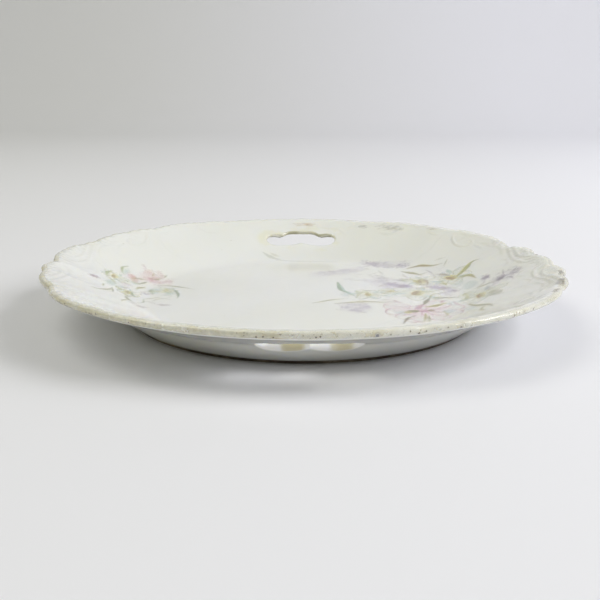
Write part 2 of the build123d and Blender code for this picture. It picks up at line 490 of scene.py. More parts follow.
def build_body():
    """The closed porcelain mesh, with the values that the finishes read kept on its points."""
    upper, _, crease, lip, slot = face_heights(top_plan)
    _, lower, _, under_lip, under_slot = face_heights(under_plan)
    on_edge = np.minimum(under_lip, under_slot) < 1e-4
    where = {(round(p[0], 3), round(p[1], 3)): k for k, p in enumerate(top_plan)}
    number = np.empty(len(under_plan), int)
    fresh = []
    for index, spot in enumerate(under_plan):
        if on_edge[index]:
            number[index] = where[(round(spot[0], 3), round(spot[1], 3))]
        else:
            number[index] = len(top_plan) + len(fresh)
            fresh.append(index)
    points = np.vstack([np.column_stack([top_plan, upper]),
                        np.column_stack([under_plan[fresh], lower[fresh]])])
    faces = np.vstack([top_faces, number[under_faces][:, ::-1]])
    piece = new_piece("porcelain_body", points, faces)
    zero = np.zeros(len(fresh))
    point_value(piece, "crease", np.concatenate([crease, zero]))
    point_value(piece, "lip_depth", np.concatenate([lip, under_lip[fresh]]))
    point_value(piece, "slot_depth", np.concatenate([slot, under_slot[fresh]]))
    point_value(piece, "upper_face", np.concatenate([np.ones(len(top_plan)), zero]))
    return piece


body = build_body()
print("porcelain body:", len(body.data.vertices), "points,", len(body.data.polygons), "triangles")

# %% [markdown]
# ## The foot ring
#
# The foot was turned on the wheel, so its shape follows one rule: a section carried round the axis.
# Geometry Nodes say exactly that. A circle is the path, a small four-sided section is the profile, and
# the result is made a plain mesh before it joins the model.

# %% A turned ring from Geometry Nodes
def node_tree(name, inputs):
    """An empty geometry tree with a mesh in, a mesh out and named inputs."""
    tree = bpy.data.node_groups.new(name, "GeometryNodeTree")
    tree.interface.new_socket("Geometry", in_out="INPUT", socket_type="NodeSocketGeometry")
    for label, kind, value in inputs:
        socket = tree.interface.new_socket(label, in_out="INPUT", socket_type=kind)
        if value is not None:
            socket.default_value = value
    tree.interface.new_socket("Geometry", in_out="OUTPUT", socket_type="NodeSocketGeometry")
    return tree, tree.nodes.new("NodeGroupInput"), tree.nodes.new("NodeGroupOutput")


def feed(tree, socket, value):
    """Give an input socket its value, which is a constant or a link from another node."""
    if isinstance(value, bpy.types.NodeSocket):
        tree.links.new(value, socket)
    else:
        socket.default_value = value


def add_node(tree, kind, settings=None, **inputs):
    """Add a node; settings are its own options and inputs are values or links, by socket name."""
    node = tree.nodes.new(kind)
    for key, value in (settings or {}).items():
        setattr(node, key, value)
    for label, value in inputs.items():
        feed(tree, next(s for s in node.inputs if s.name.replace(" ", "_") == label and s.enabled), value)
    return node


def run_tree(tree, name, **values):
    """Evaluate a geometry tree and return the result as a plain mesh object."""
    holder = bpy.data.objects.new(name, bpy.data.meshes.new(name))
    bpy.context.scene.collection.objects.link(holder)
    modifier = holder.modifiers.new("Shape", "NODES")
    modifier.node_group = tree
    for item in tree.interface.items_tree:
        key = item.name.replace(" ", "_")
        if item.item_type == "SOCKET" and item.in_out == "INPUT" and key in values:
            modifier[item.identifier] = values[key]
    bpy.context.view_layer.update()
    result = bpy.data.meshes.new_from_object(holder.evaluated_get(bpy.context.evaluated_depsgraph_get()))
    holder.modifiers.clear()
    holder.data = result
    result.name = name
    return holder


def turned_ring_tree():
    """A ring with a four-sided section: a narrow tread below and a wide shoulder above."""
    tree, given, out = node_tree("turned_ring", [
        ("Path Radius", "NodeSocketFloat", None), ("Tread Width", "NodeSocketFloat", None),
        ("Shoulder Width", "NodeSocketFloat", None), ("Lean", "NodeSocketFloat", None),
        ("Height", "NodeSocketFloat", None), ("Lift", "NodeSocketVector", None),
        ("Softness", "NodeSocketFloat", None), ("Finish", "NodeSocketMaterial", None)])
    path = add_node(tree, "GeometryNodeCurvePrimitiveCircle", Resolution=256,
                    Radius=given.outputs["Path Radius"])
    section = add_node(tree, "GeometryNodeCurvePrimitiveQuadrilateral", {"mode": "TRAPEZOID"},
                       Height=given.outputs["Height"], Top_Width=given.outputs["Tread Width"],
                       Bottom_Width=given.outputs["Shoulder Width"], Offset=given.outputs["Lean"])
    soft = add_node(tree, "GeometryNodeFilletCurve", {"mode": "POLY"}, Count=3,
                    Curve=section.outputs["Curve"], Radius=given.outputs["Softness"])
    ring = add_node(tree, "GeometryNodeCurveToMesh", Curve=path.outputs["Curve"],
                    Profile_Curve=soft.outputs["Curve"])
    placed = add_node(tree, "GeometryNodeTransform", Geometry=ring.outputs["Mesh"],
                      Translation=given.outputs["Lift"])
    smooth = add_node(tree, "GeometryNodeSetShadeSmooth", Geometry=placed.outputs["Geometry"])
    solid = add_node(tree, "GeometryNodeRealizeInstances", Geometry=smooth.outputs["Geometry"])
    painted = add_node(tree, "GeometryNodeSetMaterial", Geometry=solid.outputs["Geometry"],
                       Material=given.outputs["Finish"])
    tree.links.new(painted.outputs["Geometry"], out.inputs["Geometry"])
    return tree

# %% [markdown]
# ## Glaze and bare porcelain
#
# The glaze is a clear glassy coat over a slightly yellow-grey white, painted darker and browner in a narrow
# band at the foot of each relief line. What makes it old is small: a worn and duller well with fine knife
# lines, and tiny specks of iron in the clay. The staining and the specks are used by more than one finish,
# so each is a node group that gives out a mask.

# %% Shader helpers
def shader_group(name, inputs, outputs):
    """An empty shader node group with float inputs and float outputs."""
    group = bpy.data.node_groups.new(name, "ShaderNodeTree")
    for label, value in inputs:
        socket = group.interface.new_socket(label, in_out="INPUT", socket_type="NodeSocketFloat")
        socket.default_value = value
    for label in outputs:
        group.interface.new_socket(label, in_out="OUTPUT", socket_type="NodeSocketFloat")
    return group, group.nodes.new("NodeGroupInput"), group.nodes.new("NodeGroupOutput")


def maths(tree, operation, first, second=0.0, clamp=False):
    """One Math node; each operand is a number or a link. Returns its output."""
    node = tree.nodes.new("ShaderNodeMath")
    node.operation = operation
    node.use_clamp = clamp
    feed(tree, node.inputs[0], first)
    feed(tree, node.inputs[1], second)
    return node.outputs[0]


def times(tree, first, second, clamp=False):
    return maths(tree, "MULTIPLY", first, second, clamp)


def plus(tree, first, second):
    return maths(tree, "ADD", first, second)


def ramp(tree, value, low, high, to_low=0.0, to_high=1.0):
    """A smooth change from to_low to to_high while value goes from low to high."""
    node = add_node(tree, "ShaderNodeMapRange", {"interpolation_type": "SMOOTHSTEP"}, Value=value)
    for label, number in (("From Min", low), ("From Max", high), ("To Min", to_low), ("To Max", to_high)):
        node.inputs[label].default_value = number
    return node.outputs["Result"]


def noise(tree, where, scale, detail=3.0, roughness=0.55, stretch=(1, 1, 1), shift=(0, 0, 0)):
    """Noise on object coordinates; scale is in cells for each metre."""
    mapping = add_node(tree, "ShaderNodeMapping", Vector=where)
    mapping.inputs["Scale"].default_value = stretch
    mapping.inputs["Location"].default_value = shift
    node = add_node(tree, "ShaderNodeTexNoise", Vector=mapping.outputs["Vector"])
    node.inputs["Scale"].default_value = scale
    node.inputs["Detail"].default_value = detail
    node.inputs["Roughness"].default_value = roughness
    return node.outputs["Fac"]


def object_place(tree):
    return tree.nodes.new("ShaderNodeTexCoord").outputs["Object"]


def attribute(tree, name):
    node = tree.nodes.new("ShaderNodeAttribute")
    node.attribute_name = name
    return node


def mix_colour(tree, share, first, second):
    """The first colour where share is 0 and the second where it is 1."""
    node = tree.nodes.new("ShaderNodeMix")
    node.data_type = "RGBA"
    for index, value in ((0, share), (6, first), (7, second)):  # the colour sockets are 6 and 7
        feed(tree, node.inputs[index], value)
    return node.outputs[2]


def group_node(tree, group, **values):
    node = tree.nodes.new("ShaderNodeGroup")
    node.node_tree = group
    for label, value in values.items():
        feed(tree, node.inputs[label.replace("_", " ")], value)
    return node


def new_finish(name):
    """A material with its Principled shader ready: (material, tree, shader)."""
    finish = bpy.data.materials.new(name)
    finish.use_nodes = True
    tree = finish.node_tree
    return finish, tree, tree.nodes["Principled BSDF"]


def glassy(shader):
    """The clear glassy coat that the glaze has, and a print fired into it."""
    shader.inputs["IOR"].default_value = 1.52
    shader.inputs["Coat Weight"].default_value = 0.35
    shader.inputs["Coat Roughness"].default_value = 0.06


def bump(tree, height, distance, strength=1.0, under=None):
    """A bump of some distance in metres, laid over the bump called under."""
    node = add_node(tree, "ShaderNodeBump", Height=height)
    node.inputs["Distance"].default_value = distance
    node.inputs["Strength"].default_value = strength
    if under:
        tree.links.new(under, node.inputs["Normal"])
    return node.outputs["Normal"]


def glaze_ripple(tree, place):
    """The faint orange-peel that a glaze has, as a bump."""
    return bump(tree, noise(tree, place, 75.0, 2.0), 0.00012, 0.5)


# %% Shared effects: iron specks and cloudy stains
def iron_specks():
    """Tiny dark dots of iron that show through a glaze; Amount is the share of cells that hold one."""
    group, given, out = shader_group("iron_specks", [("Cells", 260.0), ("Size", 0.16), ("Amount", 0.2)],
                                     ["Specks"])
    cells = group.nodes.new("ShaderNodeTexVoronoi")
    group.links.new(object_place(group), cells.inputs["Vector"])
    group.links.new(given.outputs["Cells"], cells.inputs["Scale"])
    chance = group.nodes.new("ShaderNodeSeparateColor")
    group.links.new(cells.outputs["Color"], chance.inputs[0])
    has_one = maths(group, "LESS_THAN", chance.outputs[0], given.outputs["Amount"])
    size = times(group, chance.outputs[1], given.outputs["Size"])
    inside = maths(group, "SUBTRACT", size, cells.outputs["Distance"])
    soft = times(group, inside, 14.0, clamp=True)
    group.links.new(times(group, soft, has_one), out.inputs["Specks"])
    return group


def cloudy_stain():
    """Uneven staining from 0 to 1; Spread is how much of the surface it covers."""
    group, given, out = shader_group("cloudy_stain", [("Cells", 30.0), ("Spread", 0.5)], ["Stain"])
    cloud = group.nodes.new("ShaderNodeTexNoise")
    group.links.new(object_place(group), cloud.inputs["Vector"])
    group.links.new(given.outputs["Cells"], cloud.inputs["Scale"])
    cloud.inputs["Detail"].default_value = 5.0
    cloud.inputs["Roughness"].default_value = 0.62
    start = maths(group, "SUBTRACT", 0.85, given.outputs["Spread"])
    above = maths(group, "SUBTRACT", cloud.outputs["Fac"], start)
    group.links.new(times(group, above, 3.5, clamp=True), out.inputs["Stain"])
    return group


SPECKS = iron_specks()
STAIN = cloudy_stain()


# %% The glaze
WASH_WAVE = 22 * MM  # the old wash on the slots' walls comes and goes over this length
WASH_SHIFT = 4.86  # where along the slot the first wave starts, in radians


def slot_wall_wash_and_light(tree, spread, stain):
    """Tan patches of old wash on the slots' walls; the front wall is painted near white as painted light, and
    the back wall greyer as painted shade.
    """
    waves = times(tree, spread.outputs["X"], 2 * math.pi / WASH_WAVE)
    waves = plus(tree, maths(tree, "COSINE", plus(tree, waves, WASH_SHIFT)), stain)
    old_wash = ramp(tree, waves, 0.8, -0.5)
    front_wall_painted_light = mix_colour(tree, old_wash, colour(254, 254, 252), colour(216, 210, 180))
    back_wall_painted_shade = mix_colour(tree, old_wash, colour(228, 226, 208), colour(200, 198, 174))
    at_back = ramp(tree, spread.outputs["Y"], -0.01, 0.01)
    return mix_colour(tree, at_back, front_wall_painted_light, back_wall_painted_shade)


def glaze_finish():
    finish, tree, shader = new_finish("aged_glaze")
    place = object_place(tree)
    crease = attribute(tree, "crease").outputs["Fac"]
    slot = attribute(tree, "slot_depth").outputs["Fac"]
    upper = attribute(tree, "upper_face").outputs["Fac"]
    warm = ramp(tree, noise(tree, place, 9.0, 2.0), 0.35, 0.7)
    base = mix_colour(tree, warm, colour(236, 237, 235), colour(232, 233, 227))
    stain = group_node(tree, STAIN, Cells=55.0, Spread=0.45).outputs["Stain"]
    # Darker and browner at the foot of each relief line, made patchy by the cloudy stain
    crease_darkening = times(tree, times(tree, crease, 1.1, clamp=True), ramp(tree, stain, 0.0, 1.0, 0.35, 1.0))
    base = mix_colour(tree, times(tree, crease_darkening, 0.46), base, colour(168, 158, 128))
    wash = times(tree, ramp(tree, slot, 8.8, 4.0), ramp(tree, stain, 0.1, 0.8))
    wash = times(tree, wash, upper)
    base = mix_colour(tree, times(tree, wash, 0.5), base, colour(230, 228, 200))
    spread = add_node(tree, "ShaderNodeSeparateXYZ", Vector=place)
    # The slot walls: old wash patches, with the front wall painted brighter as painted light and the back
    # wall greyer as painted shade
    base = mix_colour(tree, ramp(tree, slot, 0.9, 0.4), base, slot_wall_wash_and_light(tree, spread, stain))
    specks = group_node(tree, SPECKS, Cells=170.0, Size=0.10, Amount=0.10).outputs["Specks"]
    base = mix_colour(tree, times(tree, specks, 0.6), base, colour(120, 98, 72))
    tree.links.new(base, shader.inputs["Base Color"])
    shader.inputs["Subsurface Weight"].default_value = 0.6
    shader.inputs["Subsurface Scale"].default_value = 4 * MM
    shader.inputs["Subsurface Radius"].default_value = (1.0, 0.92, 0.72)
    wear = ramp(tree, noise(tree, place, 38.0, 4.0), 0.42, 0.75)
    knife = noise(tree, place, 420.0, 2.0, stretch=(1.0, 0.04, 1.0))
    knife = times(tree, ramp(tree, knife, 0.62, 0.72), upper)
    dull = plus(tree, times(tree, wear, 0.10), times(tree, knife, 0.05))
    tree.links.new(plus(tree, dull, 0.10), shader.inputs["Roughness"])
    tree.links.new(bump(tree, specks, 0.00005, 0.6, under=glaze_ripple(tree, place)), shader.inputs["Normal"])
    glassy(shader)
    return finish


glaze = glaze_finish()
body.data.materials.append(glaze)
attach(body, "root")
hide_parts("platter_body")
print("glaze nodes:", len(glaze.node_tree.nodes))


# %% Bare porcelain and the foot ring
def bare_finish():
    finish, tree, shader = new_finish("ground_foot")
    place = object_place(tree)
    # Dark brown over most of the bare foot: partly real grime, partly painted contact shade where the foot
    # meets the floor
    stain = group_node(tree, STAIN, Cells=70.0, Spread=0.6).outputs["Stain"]
    base = mix_colour(tree, stain, colour(176, 164, 140), colour(84, 70, 56))
    specks = group_node(tree, SPECKS, Cells=420.0, Size=0.3, Amount=0.35).outputs["Specks"]
    base = mix_colour(tree, specks, base, colour(58, 42, 30))
    tree.links.new(base, shader.inputs["Base Color"])
    grain = noise(tree, place, 1800.0, 3.0)
    tree.links.new(ramp(tree, grain, 0.3, 0.7, 0.62, 0.85), shader.inputs["Roughness"])
    tree.links.new(bump(tree, grain, 0.00008, 0.7), shader.inputs["Normal"])
    return finish


FOOT_INNER = FOOT_OUTER - 5.2
TREAD_WIDTH = 3.6
RISE = TREAD_TOP + 0.3  # the ring goes a little way up into the glazed body
LEAN = 1.5  # the outside of the foot leans out by this much
SHOULDER = TREAD_WIDTH + LEAN
foot = run_tree(turned_ring_tree(), "foot_ring_turned", Path_Radius=(FOOT_INNER + SHOULDER / 2) * MM,
                Tread_Width=TREAD_WIDTH * MM, Shoulder_Width=SHOULDER * MM, Lean=-LEAN / 2 * MM,
                Height=RISE * MM, Lift=(0.0, 0.0, RISE / 2 * MM), Softness=0.3 * MM, Finish=bare_finish())
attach(foot, "root")
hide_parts("foot_ring")
print("foot ring:", len(foot.data.polygons), "faces")

# %% [markdown]
# ## Painting the flower prints
#
# The flowers are lithographed transfers: flat washes of ceramic colour with fine outlines, printed on
# film and slid onto the glaze. Here each spray is painted stroke by stroke on a small sheet that covers
# its part of the dish. A stroke is a smooth line with a width at each end and in the middle, a petal is a
# rounded shape with a darker edge and faint veins, and a floret is a ring of small dabs. Every stroke is
# laid over what is below it by its strength, as a thin wash would be.

# %% A sheet to paint on
class Sheet:
    """A grid of colours over a rectangle of the dish, in millimetres, painted wash over wash."""

    def __init__(self, low, high, step):
        self.x = np.arange(low[0], high[0] + step, step)
        self.y = np.arange(low[1], high[1] + step, step)
        self.tint = np.ones((len(self.y), len(self.x), 3))
        self.cover = np.zeros((len(self.y), len(self.x)))

    def window(self, low, high):
        """The part of the sheet inside a rectangle: slices and the plan points."""
        columns = slice(*np.searchsorted(self.x, (low[0], high[0])))
        rows = slice(*np.searchsorted(self.y, (low[1], high[1])))
        x, y = np.meshgrid(self.x[columns], self.y[rows])
        return (rows, columns), x, y

    def wash(self, where, tint, share):
        """Lay a colour over the sheet; share is how much of it stays at each point."""
        below = self.cover[where] * (1 - share)
        total = np.maximum(share + below, 1e-6)
        tint = np.broadcast_to(np.asarray(tint, float), share.shape + (3,))
        self.tint[where] = (tint * share[..., None] + self.tint[where] * below[..., None]) / total[..., None]
        self.cover[where] = share + below


def ink(red, green, blue):
    """A paint colour as the eye sees it, each part between 0 and 1."""
    return np.array([red, green, blue]) / 255


WELL_SLIP = 3.6  # the prints slid this far towards the front where they lie in the well


def seat(spots):
    """Bring a spot of the drawing to where the film lies: in the well it sits a little nearer the front."""
    spots = np.asarray(spots, float)
    forward = WELL_SLIP * smooth_step(np.hypot(spots[..., 0], spots[..., 1]), 116, 92)
    return spots - np.stack([np.zeros_like(forward), forward], -1)


def stroke(sheet, points, width, tint, strength=0.8, ends=(0.2, 0.15), soft=0.5, shade=None):
    """A brush line: widest in the middle, with a share of the width at each end."""
    line = seat(smooth_line(points, 0.35))
    reach = width / 2 + 2 * soft
    where, x, y = sheet.window(line.min(0) - reach, line.max(0) + reach)
    if not x.size:
        return
    spots = np.stack([x, y], -1)
    gap = np.linalg.norm(spots[:, :, None] - line, axis=3)
    nearest = gap.argmin(2)
    gap = gap.min(2)
    share = nearest / (len(line) - 1)
    swell = np.interp(share, (0, 0.45, 1), (ends[0], 1, ends[1]))
    mask = strength * smooth_step(width / 2 * swell - gap, -soft, soft)
    if shade is not None:
        along = np.gradient(line, axis=0)[nearest]
        side = along[..., 0] * (y - line[nearest][..., 1]) - along[..., 1] * (x - line[nearest][..., 0])
        tint = np.where(side[..., None] > 0, tint, shade)
    sheet.wash(where, tint, mask)


def leaf(sheet, points, width, light, dark, strength=0.85):
    """A strap leaf: two tones either side of a dark midrib."""
    stroke(sheet, points, width, light, strength, (0.25, 0.05), shade=(light + dark) / 2)
    stroke(sheet, points, width * 0.22, dark, strength * 0.8, (0.5, 0.2), soft=0.25)


def petal(sheet, centre, degrees, length, width, inner, outer, edge, strength=0.75, notch=0.0, curl=0.0):
    """One petal from its flower's centre: colours at the base and tip, a drawn edge and faint veins."""
    angle = math.radians(degrees)
    reach = length + width
    centre = seat(centre)
    where, x, y = sheet.window(centre - reach, centre + reach)
    along = ((x - centre[0]) * math.cos(angle) + (y - centre[1]) * math.sin(angle)) / length
    across = (-(x - centre[0]) * math.sin(angle) + (y - centre[1]) * math.cos(angle)) / (width / 2)
    across = across + curl * along**2
    tip = along + notch * np.cos(across * 2.6)
    swell = np.sin(math.pi * np.clip(tip, 0, 1) ** 1.15) ** 0.62
    margin = (swell - np.abs(across)) * width / 2
    body_share = smooth_step(margin, -0.3, 0.5) * (along > 0.02)
    blend = smooth_step(along, 0.1, 0.9)[..., None]
    sheet.wash(where, np.asarray(inner) * (1 - blend) + np.asarray(outer) * blend, strength * body_share)
    veins = smooth_step(np.cos(across * 11 + 2 * along), 0.72, 1.0) * smooth_step(along, 0.9, 0.25) * 0.35
    line = np.exp(-(((margin - 0.2) / 0.45) ** 2))
    line *= smooth_step(along, 0.12, 0.5) * smooth_step(tip, 1.03, 0.97)
    line *= 0.55 + 0.45 * np.sin(5 * along + 3 * across + degrees)
    sheet.wash(where, edge, np.clip(line * 0.75 + veins * body_share, 0, 1) * strength)


def dab(sheet, centre, length, width, degrees, tint, strength=0.7, soft=0.4):
    """One touch of the brush, an oval with soft edges."""
    angle = math.radians(degrees)
    reach = length / 2 + width / 2 + 2 * soft
    centre = seat(centre)
    where, x, y = sheet.window(centre - reach, centre + reach)
    along = (x - centre[0]) * math.cos(angle) + (y - centre[1]) * math.sin(angle)
    across = -(x - centre[0]) * math.sin(angle) + (y - centre[1]) * math.cos(angle)
    size = np.hypot(along / (length / 2), across / (width / 2))
    sheet.wash(where, tint, strength * smooth_step((1 - size) * min(length, width) / 2, -soft, soft))


# %% Ceramic colours of the prints
ROSE, PINK = ink(184, 92, 132), ink(222, 142, 160)
VIOLET, LILAC, PALE_LILAC = ink(112, 76, 130), ink(158, 128, 184), ink(202, 188, 218)
OLIVE, DEEP_OLIVE, MOSS = ink(184, 170, 40), ink(118, 108, 16), ink(152, 160, 48)
TEAL, SEA = ink(96, 136, 70), ink(176, 210, 202)
AMBER, BROWN, STRAW = ink(202, 158, 60), ink(140, 106, 48), ink(236, 226, 150)
WHITE, ICE, SMOKE = ink(252, 252, 248), ink(182, 210, 216), ink(156, 148, 116)


# %% Flowers made of those strokes
def spot_at(centre, reach, degrees):
    """The point at some distance and direction from a centre."""
    angle = math.radians(degrees)
    return centre[0] + reach * math.cos(angle), centre[1] + reach * math.sin(angle)


def floret(sheet, chance, centre, size, tints, strength):
    """A small blossom: a ring of uneven dabs round a darker throat."""
    start = chance.uniform(0, 360)
    for k in range(5):
        turn = start + 72 * k + chance.uniform(-14, 14)
        spot = spot_at(centre, size * 0.46, turn)
        tint = tints[int(chance.integers(len(tints)))]
        dab(sheet, spot, size * 0.58, size * 0.34, turn, tint, strength * chance.uniform(0.3, 1.0), 0.25)
    dab(sheet, centre, size * 0.25, size * 0.22, 0, tints[0] * 0.8, strength, 0.25)


def sprig(sheet, seed, points, count, size, spread, tints, strength=0.6):
    """Florets crowded along a line, as on a lavender head, smaller and denser at its tip."""
    chance = np.random.default_rng(seed)
    line = smooth_line(points)
    for _ in range(count):
        share = chance.uniform(0, 1)
        spot = line[int(share * (len(line) - 1))] + chance.normal(0, spread * (1.1 - 0.5 * share), 2)
        its_size = size * chance.uniform(0.7, 1.15)
        floret(sheet, chance, spot, its_size, tints, strength * chance.uniform(0.6, 1))


def narcissus(sheet, centre, size, start, cup=AMBER, cup_size=(3.0, 4.6), strength=0.8, tilt=0.0):
    """A white narcissus: six pale petals with cool shadows on one side, round an amber cup."""
    for k in range(6):
        turn = start + 60 * k
        petal(sheet, centre, turn, size * (1 - 0.12 * (k % 2)), size * 0.62, ink(246, 246, 226), WHITE,
              ink(150, 150, 96), strength, curl=0.12 * (-1) ** k)
        spot = spot_at(centre, size * 0.62, turn + 14 * (-1) ** k)
        dab(sheet, spot, size * 0.5, size * 0.16, turn, ICE, 0.5 * (k % 2) + 0.15, 0.6)
    dab(sheet, centre, cup_size[1] + 1.2, cup_size[0] + 1.2, 90 + tilt, STRAW, 0.8, 0.6)
    lean = math.radians(90 + tilt)
    up = np.array([math.cos(lean), math.sin(lean)])
    side = np.array([-up[1], up[0]])
    for share, tint in ((0.30, cup), (-0.30, STRAW * 0.85), (0.04, cup * 0.9), (0.16, BROWN)):
        start = np.array(centre) + side * share * cup_size[0] - up * cup_size[1] * 0.42
        stroke(sheet, [start, start + up * cup_size[1] * 0.45 + side * 0.5, start + up * cup_size[1] * 0.84],
               cup_size[0] * 0.36, tint, 0.9, (0.6, 0.3), 0.3)


def stalks(sheet, seed, low, high, count, tints, strength=0.5):
    """Short loose strokes of stalk and grass between the flowers."""
    chance = np.random.default_rng(seed)
    for _ in range(count):
        start = chance.uniform(low, high)
        heading = chance.normal(35, 45)
        length = chance.uniform(4, 11)
        bend = chance.uniform(-0.5, 0.5)
        points = [start + length * t * np.array([math.cos(math.radians(heading) + bend * t),
                                                 math.sin(math.radians(heading) + bend * t)])
                  for t in (0.0, 0.5, 1.0)]
        tint = tints[int(chance.integers(len(tints)))]
        stroke(sheet, points, chance.uniform(0.8, 1.7), tint, strength * chance.uniform(0.4, 1.0))


# %% [markdown]
# ## From sheet to film
#
# A print follows the china. Only the painted cells of the sheet become faces. They are laid a tenth of a
# millimetre above the glaze, given an underside just below it, and closed round their border, so the film
# is a thin solid like its CAD node. The colours stay on the points as an attribute, and the material
# reads them.

# %% Close a thin sheet into a solid
def closed_shell(name, outer, inner, faces):
    """A closed thin mesh from one sheet of faces and its points on the outer and the inner side."""
    count, corners = len(outer), faces.shape[1]
    sides = np.vstack([faces[:, [k, (k + 1) % corners]] for k in range(corners)])
    keys = sides[:, 0] * count + sides[:, 1]
    lone = sides[~np.isin(keys, sides[:, 1] * count + sides[:, 0])]
    walls = np.column_stack([lone[:, 1], lone[:, 0], lone[:, 0] + count, lone[:, 1] + count])
    return new_piece(name, np.vstack([outer, inner]),
                     faces.tolist() + (faces[:, ::-1] + count).tolist() + walls.tolist())


# %% Lay a painted sheet on the dish
FILM_LIFT = 0.10
FILM_SINK = 0.06
LEAST_COVER = 0.02  # cells with less colour than this are left out
PRINT_STRENGTH = 0.56  # the colours are thin after years of washing


def film_from(sheet, name):
    """A closed thin mesh of the painted cells, with the colours kept on its points."""
    columns = sheet.cover.shape[1]
    painted = sheet.cover > LEAST_COVER
    cells = painted[:-1, :-1] | painted[1:, :-1] | painted[:-1, 1:] | painted[1:, 1:]
    row, column = np.nonzero(cells)
    corners = np.stack([row * columns + column, row * columns + column + 1,
                        (row + 1) * columns + column + 1, (row + 1) * columns + column], axis=1)
    used, packed = np.unique(corners, return_inverse=True)
    x, y = np.meshgrid(sheet.x, sheet.y)
    plan = np.column_stack([x.ravel()[used], y.ravel()[used]])
    height = face_heights(plan)[0]
    piece = closed_shell(name, np.column_stack([plan, height + FILM_LIFT]),
                         np.column_stack([plan, height - FILM_SINK]), packed.reshape(-1, 4))
    shown = sheet.tint.reshape(-1, 3)[used]
    rgba = np.column_stack([linear_light(shown), PRINT_STRENGTH * sheet.cover.ravel()[used]])
    layer = piece.data.attributes.new("print", "FLOAT_COLOR", "POINT")
    layer.data.foreach_set("color", np.vstack([rgba, rgba]).astype(np.float32).ravel())
    print(name, len(piece.data.polygons) * 2, "triangles")
    return piece


# %% Ceramic colour as a finish
def print_finish():
    finish, tree, shader = new_finish("ceramic_print")
    paint = attribute(tree, "print")
    place = object_place(tree)
    grain = noise(tree, place, 2600.0, 1.0)
    speckle = ramp(tree, grain, 0.35, 0.65, 0.78, 1.0)
    tree.links.new(paint.outputs["Color"], shader.inputs["Base Color"])
    tree.links.new(times(tree, paint.outputs["Alpha"], speckle), shader.inputs["Alpha"])
    wear = ramp(tree, noise(tree, place, 38.0, 4.0), 0.42, 0.75, 0.13, 0.26)
    tree.links.new(wear, shader.inputs["Roughness"])
    tree.links.new(glaze_ripple(tree, place), shader.inputs["Normal"])
    glassy(shader)
    return finish


printed = print_finish()

# %% [markdown]
# ## The large spray
#
# The large spray fills the right of the dish: a pink garden flower in front, white narcissi with amber
# cups in the middle, long strap leaves, and heads of lavender that trail off at its edges. The pale
# washes go down first and the leaves, throats and outlines last.

